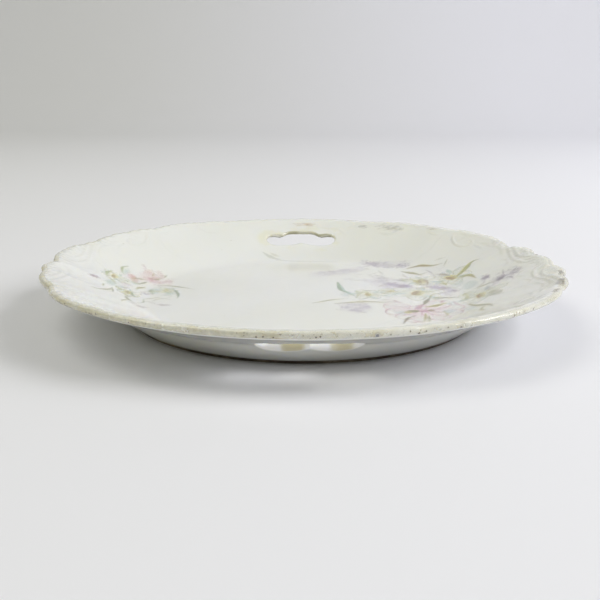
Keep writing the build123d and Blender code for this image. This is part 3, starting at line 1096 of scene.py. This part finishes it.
# %% Paint the large spray
def paint_large_spray():
    sheet = Sheet((0, -62), (126, 84), 0.43)
    lilacs = (LILAC, PALE_LILAC, ink(166, 150, 178))
    for spot, length, width, degrees in (
            ((52, 33), 30, 22, 100), ((28, 64), 30, 13, 40), ((56, 76), 22, 7, -20),
            ((29, -22), 18, 15, 80), ((83, 13), 20, 9, 80), ((12, 58), 16, 12, 60)):
        dab(sheet, spot, length, width, degrees, PALE_LILAC, 0.2, 3.0)
    sprig(sheet, 1, [(14, 56), (28, 65), (38, 70)], 20, 4.6, 4.6, lilacs, 0.42)
    sprig(sheet, 2, [(42, 80), (54, 77), (60, 71), (66, 70)], 24, 4.2, 2.4, lilacs, 0.46)
    sprig(sheet, 3, [(44, 42), (50, 34), (60, 26)], 34, 5.2, 6.0, lilacs, 0.5)
    sprig(sheet, 4, [(50, 30), (57, 25), (62, 26)], 14, 4.0, 2.6, (VIOLET, LILAC), 0.6)
    sprig(sheet, 5, [(24, -18), (30, -20), (29, -29)], 22, 4.4, 4.2, lilacs, 0.46)
    sprig(sheet, 6, [(72, 27), (78, 24), (84, 14), (83, 5)], 34, 4.8, 3.4, (VIOLET, LILAC, PALE_LILAC), 0.52)
    sprig(sheet, 7, [(103, 15), (106, 12)], 8, 3.6, 1.4, (VIOLET, LILAC), 0.6)
    for spot, length, width in (
            ((25, 8), 12, 6), ((48, 5), 10, 5), ((40, 4), 7, 5), ((72, 3), 8, 6), ((96, 13), 12, 8),
            ((93, -4), 12, 5), ((75, -31), 9, 6), ((91, 22), 9, 6), ((86, -33), 10, 5), ((60, 18), 8, 5)):
        dab(sheet, spot, length, width, 80, ICE, 0.32, 1.4)
    narcissus(sheet, (89, 35), 14, 40, ink(214, 160, 84), (4.2, 8.0), strength=0.55, tilt=32)
    narcissus(sheet, (96.5, -12), 15, 10, AMBER, (4.2, 8.0), strength=0.6, tilt=-12)
    narcissus(sheet, (51, 14), 9, 30, OLIVE, (2.4, 4.0), strength=0.7, tilt=-30)
    narcissus(sheet, (37, 7), 12, 0, AMBER, (2.6, 6.0))
    narcissus(sheet, (65.5, 9.5), 17, 20, AMBER, (6.0, 11.0), tilt=-24)
    narcissus(sheet, (72, 37), 13, 50, STRAW, (5.0, 9.0), strength=0.65)
    stroke(sheet, [(69, 30), (68.5, 37), (66, 44)], 2.6, OLIVE, 0.8)
    stroke(sheet, [(70, 42), (74, 40), (75, 34), (74, 28)], 1.9, BROWN, 0.75)
    stroke(sheet, [(68, 31), (71, 28.5), (75, 30)], 1.8, DEEP_OLIVE, 0.7)
    dab(sheet, (102.5, -20), 15, 5.2, 96, SMOKE, 0.4, 0.9)
    stalks(sheet, 31, (28, -8), (92, 58), 44, (MOSS, OLIVE, ink(170, 160, 80)), 0.75)
    stalks(sheet, 32, (84, -40), (100, 10), 10, (MOSS, OLIVE), 0.45)
    leaf(sheet, [(21.5, 36), (22, 26), (23, 17), (26, 11), (29.5, 3)], 4.0, SEA, TEAL, 0.9)
    leaf(sheet, [(5, -12), (12, -7.5), (17, -4.5), (25, -2)], 2.2, OLIVE, MOSS, 0.6)
    leaf(sheet, [(17, -13), (26, -10.5), (36, -9), (44, -10.5), (50, -8)], 2.8, OLIVE, DEEP_OLIVE, 0.7)
    leaf(sheet, [(67, 65), (75, 64), (82, 59), (88, 57)], 2.6, OLIVE, BROWN)
    leaf(sheet, [(63, 61), (69, 56), (74, 50)], 3.6, OLIVE, DEEP_OLIVE, 0.75)
    leaf(sheet, [(92, 33), (98, 37), (103, 42), (108, 41.5)], 3.8, ink(200, 194, 80), MOSS, 0.9)
    leaf(sheet, [(94, 31), (99, 27), (101, 19)], 2.8, OLIVE, OLIVE * 0.8, 0.8)
    leaf(sheet, [(81, 30), (84, 28), (84.5, 23)], 2.4, OLIVE, MOSS, 0.7)
    leaf(sheet, [(87.5, -21), (90, -30), (94, -41), (94, -52)], 3.4, OLIVE, DEEP_OLIVE, 0.8)
    leaf(sheet, [(92, -40), (89, -47), (89, -56)], 2.2, ink(178, 174, 110), OLIVE, 0.6)
    stroke(sheet, [(63, 56), (63.5, 50), (66, 44)], 1.6, AMBER, 0.4)
    stroke(sheet, [(84, 63.5), (88, 63), (91, 62)], 1.4, MOSS, 0.3)
    stroke(sheet, [(49, 66), (50, 60), (51, 54)], 2.0, ink(190, 200, 170), 0.35)
    stroke(sheet, [(77.5, 57), (79.5, 52), (81, 46)], 0.9, VIOLET, 0.6)
    stroke(sheet, [(82, 47), (86, 43), (89, 38)], 2.2, ink(120, 96, 84), 0.6)
    stroke(sheet, [(41, 72), (43, 69)], 2.2, OLIVE, 0.45)
    stroke(sheet, [(96, 5), (101, 3.2), (108, 2)], 1.5, OLIVE, 0.8)
    stroke(sheet, [(99, 3), (103, 8), (105, 14)], 0.8, VIOLET, 0.5)
    sprig(sheet, 8, [(107, 1), (113, 2), (121, 4)], 40, 3.4, 5.0, (VIOLET, LILAC, LILAC), 0.5)
    sprig(sheet, 9, [(107, 1), (110, 1), (112, 2)], 10, 2.6, 0.9, (VIOLET * 0.7, VIOLET), 0.8)
    for points in ([(113, 3), (114, 8), (115, 13)], [(114, 0), (115, -6), (115, -11)], [(118, 4), (122, 8)]):
        stroke(sheet, points, 1.2, VIOLET, 0.6)
    return sheet


# %% Paint the pink flower over it
def paint_pink_flower(sheet):
    """Nine petals round one throat, then its shadows, its outlines and the leaves that cross it."""
    centre = (62.5, -28)
    for degrees, length, width in (
            (148, 24, 15), (188, 21, 15), (228, 22, 12), (262, 24, 11), (296, 23, 12),
            (336, 23, 15), (18, 25, 15), (52, 26, 14), (100, 12, 10)):
        petal(sheet, centre, degrees, length, width, ink(248, 234, 238), ink(250, 250, 248),
              ink(196, 70, 128), 0.72, notch=0.05, curl=0.1)
    for spot, length, width in (((76, -30), 8, 6), ((51, -32), 8, 5), ((80, -15), 7, 4)):
        dab(sheet, spot, length, width, 80, ICE, 0.4, 1.2)
    for points, width in (
            ([(48, -8), (44, -15), (50, -19), (57, -21)], 0.8),
            ([(50, -19), (44, -26), (43, -33), (47, -39)], 0.9),
            ([(52, -48), (55, -50.5), (59, -47)], 1.6), ([(51, -38), (53, -35), (57, -37)], 1.2),
            ([(75, -13), (77, -8), (79, -9)], 1.8), ([(82, -10), (83, -18), (86, -23)], 1.5),
            ([(76, -37), (81, -36), (85, -28)], 1.0), ([(69, -50), (70.5, -46), (69, -43)], 1.1),
            ([(50, -5), (51, -9), (54, -12)], 2.4)):
        stroke(sheet, points, width, ROSE, 0.6)
    twist = math.degrees(0.12)  # the veins in the throat turn by this much
    for turn in range(10, 360, 40):
        vein = [spot_at(centre, 2, turn), spot_at(centre, 9, turn + twist)]
        stroke(sheet, vein, 1.0, ROSE, 0.3, (1.0, 0.1))
    dab(sheet, (62, -20), 10, 3.0, 66, ROSE, 0.6, 0.7)
    dab(sheet, (63, -29), 6, 4, 0, ROSE, 0.6, 0.8)
    dab(sheet, (57.5, -29), 6.5, 4.6, 10, DEEP_OLIVE, 0.9, 0.5)
    dab(sheet, (54.5, -31), 5, 3.6, 50, OLIVE, 0.9, 0.5)
    dab(sheet, (67, -28), 3.6, 4.0, 0, BROWN, 0.75, 0.5)
    for points, width, tint in (
            ([(65, -16), (67, -10), (71, -1)], 3.0, DEEP_OLIVE),
            ([(65, -21), (71, -18.5), (77.5, -13)], 3.6, OLIVE),
            ([(72, -6), (77, -2.5), (82, -1.5), (86, -4)], 1.9, ink(120, 100, 62)),
            ([(73, -30), (74, -37), (71.5, -42)], 1.1, OLIVE),
            ([(63, -34), (62, -41), (60, -49)], 1.7, OLIVE),
            ([(64.5, -38), (63.5, -43), (62.5, -50)], 1.0, MOSS),
            ([(57, -38.5), (53, -42), (51, -47), (49, -53)], 2.0, ink(128, 104, 50))):
        stroke(sheet, points, width, tint, 0.85)
        stroke(sheet, points, width * 0.3, tint * 0.6, 0.6)


large_sheet = paint_large_spray()
paint_pink_flower(large_sheet)
large_spray = film_from(large_sheet, "large_spray_print")

# %% [markdown]
# ## The small spray
#
# A smaller bunch balances it on the left, in the same colours: a rose-pink cluster on top, small
# narcissi, and thin leaves and mauve buds that hang down towards the rim.

# %% Paint the small spray
def paint_small_spray():
    sheet = Sheet((-122, -38), (-58, 53), 0.4)
    pinks, mauves = (ROSE, PINK, ink(226, 140, 146)), (ink(150, 104, 140), ink(196, 166, 192))
    for spot, length, width in (
            ((-103, 28), 7, 3), ((-84, 11), 12, 6), ((-106, 0), 11, 5), ((-96, 17), 5, 4),
            ((-100, -1), 8, 4), ((-75, 9), 9, 5)):
        dab(sheet, spot, length, width, 90, SEA, 0.5, 1.5)
    sprig(sheet, 21, [(-100, 27), (-97, 20)], 16, 3.6, 1.5, (PINK, ink(226, 150, 160)), 0.36)
    sprig(sheet, 22, [(-84, 27), (-79, 36), (-77, 31)], 18, 3.8, 2.4, (PINK, ink(230, 160, 166)), 0.3)
    sprig(sheet, 23, [(-93, 42), (-90, 36), (-89.5, 28)], 20, 3.4, 2.0, pinks, 0.42)
    sprig(sheet, 24, [(-85, 40), (-84, 46)], 10, 3.0, 1.5, pinks, 0.4)
    sprig(sheet, 25, [(-96, 46), (-95, 44)], 3, 2.4, 0.5, pinks, 0.4)
    sprig(sheet, 26, [(-100, 11), (-98.5, 4), (-99, 0)], 8, 2.6, 0.8, mauves, 0.5)
    sprig(sheet, 27, [(-118, -4), (-114, -2)], 10, 3.0, 1.1, mauves, 0.5)
    sprig(sheet, 28, [(-88, -22), (-85, -27)], 10, 3.0, 1.5, mauves, 0.4)
    sprig(sheet, 29, [(-80, -16), (-72, -18)], 10, 2.8, 0.9, mauves, 0.4)
    sprig(sheet, 30, [(-90, 6), (-87, 3)], 6, 3.0, 1.2, mauves, 0.35)
    narcissus(sheet, (-107, 13), 8.5, 20, AMBER, (2.4, 5.6), strength=0.7)
    narcissus(sheet, (-77.8, 14), 7.5, 0, OLIVE, (1.8, 3.4), strength=0.65)
    narcissus(sheet, (-96, -4), 8, 40, ink(140, 124, 58), (2.2, 5.6), strength=0.7)
    dab(sheet, (-90, 33), 16, 12, 90, ink(236, 190, 198), 0.3, 2.5)
    dab(sheet, (-98, 24), 10, 9, 90, ink(236, 190, 198), 0.22, 2.0)
    stalks(sheet, 33, (-112, -18), (-72, 24), 34, (MOSS, OLIVE, ink(150, 160, 90)), 0.6)
    for points, width, light, dark in (
            ([(-110, 20), (-111.5, 14), (-110.5, 8)], 1.8, MOSS, TEAL),
            ([(-90.5, 26), (-92, 22), (-94.5, 17)], 1.8, DEEP_OLIVE, DEEP_OLIVE),
            ([(-97, 24), (-94, 27), (-91, 29)], 1.8, MOSS, DEEP_OLIVE),
            ([(-89, 33), (-86, 34), (-84, 38)], 1.8, MOSS, DEEP_OLIVE),
            ([(-84, 23), (-78, 25), (-71, 23), (-62, 18)], 2.2, MOSS, DEEP_OLIVE),
            ([(-103.5, 36), (-106, 31), (-105, 25), (-103, 22)], 1.8, ink(150, 170, 96), MOSS),
            ([(-90, 15.5), (-92.5, 12), (-94, 8)], 2.6, ink(176, 164, 76), OLIVE),
            ([(-101, 15), (-99, 14)], 1.8, TEAL, MOSS),
            ([(-73.5, 16), (-71, 10), (-69.5, 3), (-69.5, -3)], 2.2, TEAL, TEAL * 0.7),
            ([(-94.5, -1), (-93.5, -5), (-92, -8)], 1.6, TEAL, DEEP_OLIVE),
            ([(-101, -3), (-99.5, -5)], 1.8, OLIVE, MOSS),
            ([(-104, -8), (-105, -16), (-108, -23), (-112, -27)], 1.6, MOSS, DEEP_OLIVE),
            ([(-109, -8), (-108, -13)], 1.2, OLIVE, MOSS),
            ([(-103.5, -9), (-102, -17)], 1.4, OLIVE, MOSS),
            ([(-96, -13), (-94, -17), (-90, -20.5)], 2.2, MOSS, DEEP_OLIVE),
            ([(-93, -18), (-95, -24), (-95, -29)], 1.3, OLIVE, MOSS),
            ([(-86, 14), (-86.5, 8)], 1.6, ink(150, 160, 140), MOSS),
            ([(-87, -9), (-86, -15), (-89, -20)], 1.2, ink(170, 180, 150), MOSS),
            ([(-89, 37), (-89, 42)], 1.2, OLIVE, MOSS),
            ([(-82.5, 40), (-81.5, 46)], 1.2, MOSS, OLIVE)):
        leaf(sheet, points, width, light, dark, 0.7)
    return sheet


small_spray = film_from(paint_small_spray(), "small_spray_print")


# %% Paint the trailing stem
def paint_stem():
    sheet = Sheet((-28, 84), (28, 102), 0.4)
    stroke(sheet, [(-25, 99), (-21, 96), (-17, 94), (-13, 93)], 3.4, MOSS, 0.32)
    stroke(sheet, [(-20, 99), (-17, 97.5), (-14, 96.5)], 3.0, OLIVE, 0.22)
    stroke(sheet, [(-16, 92), (-6, 91), (6, 90.5), (24, 88)], 1.0, ink(150, 160, 140), 0.3, (1.0, 0.4))
    return sheet


stem = film_from(paint_stem(), "trailing_stem_print")
for piece, node in ((large_spray, "large_flower_spray"), (small_spray, "small_flower_spray"),
                    (stem, "trailing_stem")):
    piece.data.materials.append(printed)
    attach(piece, "root")
    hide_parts(node)


# %% [markdown]
# ## Straw lustre on the lip
#
# The lip was brushed with a thin straw lustre, a metallic stain fired on at low heat. It is a skin of the
# porcelain itself, so its faces are copied from the body wherever a point lies close behind the lip.
# Handling has rubbed it: it is nearly whole on the left and almost gone at the front right, and grit in
# the kiln left a row of brown pits along its lower edge.

# %% Skins taken from the porcelain
def body_arrays():
    """Points and vertex normals in millimetres, triangles, and the kept point values of the body."""
    mesh = body.data
    points = np.empty(len(mesh.vertices) * 3, np.float32)
    normals = np.empty(len(mesh.vertices) * 3, np.float32)
    corners = np.empty(len(mesh.loops), np.int32)
    mesh.vertices.foreach_get("co", points)
    mesh.vertices.foreach_get("normal", normals)
    mesh.loops.foreach_get("vertex_index", corners)
    values = {}
    for label in ("lip_depth", "upper_face", "crease"):
        values[label] = np.empty(len(mesh.vertices), np.float32)
        mesh.attributes[label].data.foreach_get("value", values[label])
    return points.reshape(-1, 3) / MM, normals.reshape(-1, 3), corners.reshape(-1, 3), values


def skin(name, keep, lift, sink, values):
    """A closed thin copy of the body's faces whose points all pass keep, with values kept on it."""
    points, normals, triangles, _ = body_arrays()
    used, packed = np.unique(triangles[keep[triangles].all(1)], return_inverse=True)
    piece = closed_shell(name, points[used] + normals[used] * lift, points[used] - normals[used] * sink,
                         packed.reshape(-1, 3))
    for label, numbers in values.items():
        point_value(piece, label, np.tile(numbers[used], 2))
    print(name, len(piece.data.polygons), "faces")
    return piece


BAND_DEPTH = 3.6  # how far the lustre reaches behind the lip on the upper face
BAND_UNDER = 0.9  # and on the underside
points, normals, _, kept = body_arrays()
near_lip = kept["lip_depth"] < np.where(kept["upper_face"] > 0.5, BAND_DEPTH, BAND_UNDER)
lustre = skin("straw_lustre_skin", near_lip, 0.04, 0.03,
              {"lip_depth": kept["lip_depth"], "facing": normals[:, 2]})


# %% The lustre's finish
KNOCKED_SPOT = (0.0274, -0.1358, 0.0262)  # a blue-grey bruise on the front of the lip, in metres


def lustre_cover(tree, place, depth, facing, patchy):
    """How much lustre is left: less on the right, at the back and at the band's inner edge, and less where
    the lip faces up, which paints a highlight along its top.
    """
    spread = add_node(tree, "ShaderNodeSeparateXYZ", Vector=place)
    worn_right = ramp(tree, spread.outputs["X"], -0.07, 0.07)
    front = ramp(tree, spread.outputs["Y"], 0.03, -0.05)
    fine = ramp(tree, noise(tree, place, 260.0, 3.0, 0.6), 0.34, 0.6, 0.72, 1.0)
    cover = maths(tree, "SUBTRACT", 0.82, times(tree, worn_right, 0.42))
    # Less lustre where the lip faces up leaves its top whiter: a painted highlight
    for share in (plus(tree, times(tree, patchy, 0.45), 0.55), fine, ramp(tree, depth, 3.5, 2.4),
                  ramp(tree, facing, 1.02, 0.75, 0.7, 1.0), plus(tree, times(tree, front, 0.45), 0.55)):
        cover = times(tree, cover, share)
    return cover


def kiln_pits(tree, place, facing):
    """Brown pits, crowded in clumps along the lower edge, and a few larger ones anywhere."""
    pits = group_node(tree, SPECKS, Cells=760.0, Size=0.5, Amount=0.5).outputs["Specks"]
    clumps = ramp(tree, noise(tree, place, 45.0, 2.0, shift=(0.3, 0, 0)), 0.38, 0.48)
    pits = times(tree, times(tree, pits, ramp(tree, facing, 0.6, 0.1)), clumps)
    few = group_node(tree, SPECKS, Cells=260.0, Size=0.4, Amount=0.05).outputs["Specks"]
    return maths(tree, "MAXIMUM", pits, times(tree, few, 0.6))


def lustre_finish():
    finish, tree, shader = new_finish("rubbed_lustre")
    place = object_place(tree)
    depth = attribute(tree, "lip_depth").outputs["Fac"]
    facing = attribute(tree, "facing").outputs["Fac"]
    patchy = ramp(tree, noise(tree, place, 62.0, 4.0, 0.6), 0.38, 0.62)
    cover = lustre_cover(tree, place, depth, facing, patchy)
    pits = kiln_pits(tree, place, facing)
    deep = noise(tree, place, 130.0, 3.0, shift=(0, 0.4, 0))
    straw = mix_colour(tree, ramp(tree, deep, 0.35, 0.65), colour(240, 237, 218), colour(226, 219, 188))
    tint = mix_colour(tree, pits, straw, colour(92, 66, 44))
    knock = add_node(tree, "ShaderNodeVectorMath", {"operation": "DISTANCE"}, Vector=place)
    knock.inputs[1].default_value = KNOCKED_SPOT
    ragged = plus(tree, times(tree, knock.outputs["Value"], 1 / MM), times(tree, deep, 3.0))
    knocked = ramp(tree, ragged, 3.7, 1.9)
    tint = mix_colour(tree, knocked, tint, colour(104, 108, 130))
    pits = maths(tree, "MAXIMUM", pits, knocked)
    tree.links.new(tint, shader.inputs["Base Color"])
    tree.links.new(maths(tree, "MAXIMUM", cover, times(tree, pits, 0.85)), shader.inputs["Alpha"])
    tree.links.new(ramp(tree, patchy, 0.0, 1.0, 0.10, 0.24), shader.inputs["Roughness"])
    rough = bump(tree, noise(tree, place, 420.0, 3.0), 0.00012, 0.5)
    tree.links.new(bump(tree, pits, 0.00010, 0.8, under=rough), shader.inputs["Normal"])
    shader.inputs["Metallic"].default_value = 0.05
    shader.inputs["Coat Weight"].default_value = 0.4
    shader.inputs["Coat Roughness"].default_value = 0.08
    return finish


lustre.data.materials.append(lustre_finish())
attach(lustre, "root")
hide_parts("edge_lustre_band")

# %% [markdown]
# ## What is left of the gilding
#
# A little bright gold once picked out the handles and the shell ends. Most of it has been washed away.
# What stays is orange-brown over the handles and a grey tarnish in the creases at the ends, so each trace
# is strongest in the middle of its patch and breaks up towards its border.

# %% Traces of gilding
GILT_PATCHES = [
    # (angle, radius, length along the rim, width, warmth: 1 orange-brown, 0 grey)
    (88.5, 130.3, 20, 6, 1.0), (62, 131, 24, 9, 0.1), (70, 130, 9, 5, 0.0),
    (49, 134.5, 9, 4, 0.2), (-14, 137.5, 13, 5, 0.0), (-24, 138, 17, 6, 0.0), (-32, 139, 14, 4, 0.15),
    (-47, 137.5, 9, 4, 0.9), (7, 136, 12, 5, 0.1), (-91, 129.5, 17, 5, 0.8),
]
gilt, warmth = np.zeros(len(points)), np.zeros(len(points))
for degrees, radius, length, width, warm in GILT_PATCHES:
    angle = math.radians(degrees)
    out = points[:, 0] * math.cos(angle) + points[:, 1] * math.sin(angle) - radius
    along = -points[:, 0] * math.sin(angle) + points[:, 1] * math.cos(angle)
    inside = 1 - np.hypot(along / (length / 2), out / (width / 2))
    warmth = np.where(inside > gilt, warm, warmth)
    gilt = np.maximum(gilt, inside)
traces = skin("gilding_traces", (gilt > 0) & (kept["upper_face"] > 0.5), 0.07, 0.03,
              {"gilt": gilt, "warmth": warmth, "crease": kept["crease"]})


def gilding_finish():
    finish, tree, shader = new_finish("worn_gilt")
    place = object_place(tree)
    gilt_share = attribute(tree, "gilt").outputs["Fac"]
    warm = attribute(tree, "warmth").outputs["Fac"]
    crease = attribute(tree, "crease").outputs["Fac"]
    tone = noise(tree, place, 300.0, 3.0)
    grey = mix_colour(tree, tone, colour(132, 124, 134), colour(176, 168, 158))
    orange = mix_colour(tree, tone, colour(206, 152, 104), colour(222, 192, 146))
    tree.links.new(mix_colour(tree, warm, grey, orange), shader.inputs["Base Color"])
    broken = noise(tree, place, 360.0, 5.0, 0.7, stretch=(0.6, 2.2, 1.0))
    edge = plus(tree, broken, times(tree, gilt_share, 0.26))
    edge = plus(tree, edge, times(tree, crease, 0.55))
    tree.links.new(ramp(tree, edge, 0.50, 0.96, 0.0, 0.40), shader.inputs["Alpha"])
    shader.inputs["Metallic"].default_value = 0.15
    shader.inputs["Roughness"].default_value = 0.42
    tree.links.new(bump(tree, broken, 0.00006, 0.6), shader.inputs["Normal"])
    return finish


traces.data.materials.append(gilding_finish())
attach(traces, "root")
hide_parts("worn_gilding")

# %% [markdown]
# ## Floor, light and camera
#
# Glossy white ware is mostly its surroundings. A pale sweep runs up behind the platter. A broad soft
# light stands to the right, a weaker one hangs high on the left, and the room itself glows from above
# and, a little warmer, from the left.

# %% A pale sweep to stand on
def sweep_floor():
    """A floor that curves up into a back wall, as one sheet, painted lighter and bluer towards the right as
    painted light.
    """
    front, back, bend, wall, side = -2500.0, 1500.0, 600.0, 2200.0, 3200.0  # all in millimetres
    turn = np.linspace(0, math.pi / 2, 17)
    section = [(front, 0.0)] + [(back + bend * math.sin(a), bend * (1 - math.cos(a))) for a in turn]
    section.append((back + bend, wall))
    points = [(x, y, z) for y, z in section for x in (-side, side)]
    faces = [(2 * k, 2 * k + 1, 2 * k + 3, 2 * k + 2) for k in range(len(section) - 1)]
    finish, tree, shader = new_finish("pale_paper")
    place = object_place(tree)
    across = add_node(tree, "ShaderNodeSeparateXYZ", Vector=place).outputs["X"]
    # Painted light: the sweep is darker on the left and lighter and bluer on the right, as if lit from the
    # right
    tone = plus(tree, ramp(tree, across, -0.7, 0.8), times(tree, noise(tree, place, 1.2, 2.0), 0.1))
    tree.links.new(mix_colour(tree, tone, colour(224, 224, 223), colour(242, 242, 250)),
                   shader.inputs["Base Color"])
    shader.inputs["Roughness"].default_value = 0.7
    return new_piece("pale_sweep", points, faces, finish)


sweep_floor()


# %% Lights
def soft_light(name, place, size, watts, tint):
    """A square soft light that faces the platter; place and size are in metres."""
    lamp = bpy.data.lights.new(name, "AREA")
    lamp.shape = "SQUARE"
    lamp.size = size
    lamp.energy = watts
    lamp.color = tint
    holder = bpy.data.objects.new(name, lamp)
    holder.location = place
    holder.rotation_euler = (-Vector(place)).to_track_quat("-Z", "Y").to_euler()
    bpy.context.scene.collection.objects.link(holder)


soft_light("window", (1.90, -0.33, 1.35), 1.4, 43.0, (0.99, 0.99, 1.0))
soft_light("high_lamp", (-1.18, 0.0, 2.04), 1.4, 12.5, (1.0, 0.99, 0.95))


# %% The room
def glow(tree, toward, tint):
    """Soft light from one side of the room: a colour that fades out away from that side."""
    place = add_node(tree, "ShaderNodeTexCoord")
    side = add_node(tree, "ShaderNodeVectorMath", {"operation": "DOT_PRODUCT"},
                    Vector=place.outputs["Generated"])
    side.inputs[1].default_value = toward
    fade = add_node(tree, "ShaderNodeMapRange", {"interpolation_type": "SMOOTHSTEP"},
                    Value=side.outputs["Value"], From_Min=-0.2, From_Max=1.0)
    tone = add_node(tree, "ShaderNodeVectorMath", {"operation": "SCALE"}, Vector=tint,
                    Scale=fade.outputs["Result"])
    return tone.outputs["Vector"]


room = bpy.data.worlds.new("studio")
bpy.context.scene.world = room
room.use_nodes = True
both = add_node(room.node_tree, "ShaderNodeVectorMath", {"operation": "ADD"},
                Vector=glow(room.node_tree, (0, 0, 1), (0.34, 0.345, 0.35)))
room.node_tree.links.new(glow(room.node_tree, (-0.95, 0, 0.3), (0.29, 0.285, 0.20)), both.inputs[1])
room.node_tree.links.new(both.outputs["Vector"], room.node_tree.nodes["Background"].inputs["Color"])
bpy.context.scene.view_settings.view_transform = "Standard"


# %% Camera
def place_camera(lens, distance, height, aside, pitch, turn, roll):
    """Look at the platter from in front; lengths are in millimetres and angles in degrees."""
    camera = bpy.data.cameras.new("camera")
    camera.sensor_width = 36.0
    camera.lens = lens
    holder = bpy.data.objects.new("camera", camera)
    bpy.context.scene.collection.objects.link(holder)
    heading = Matrix.Rotation(math.radians(-turn), 4, "Z")
    tilt = Matrix.Rotation(math.radians(90 - pitch), 4, "X")
    lean_over = Matrix.Rotation(math.radians(roll), 4, "Z")
    away = Matrix.Translation(Vector((aside, -distance, height)) * MM)
    holder.matrix_world = heading @ away @ tilt @ lean_over
    bpy.context.scene.camera = holder


place_camera(lens=50.3, distance=454.9, height=125.4, aside=-1.5, pitch=14.82, turn=0.86, roll=0.23)
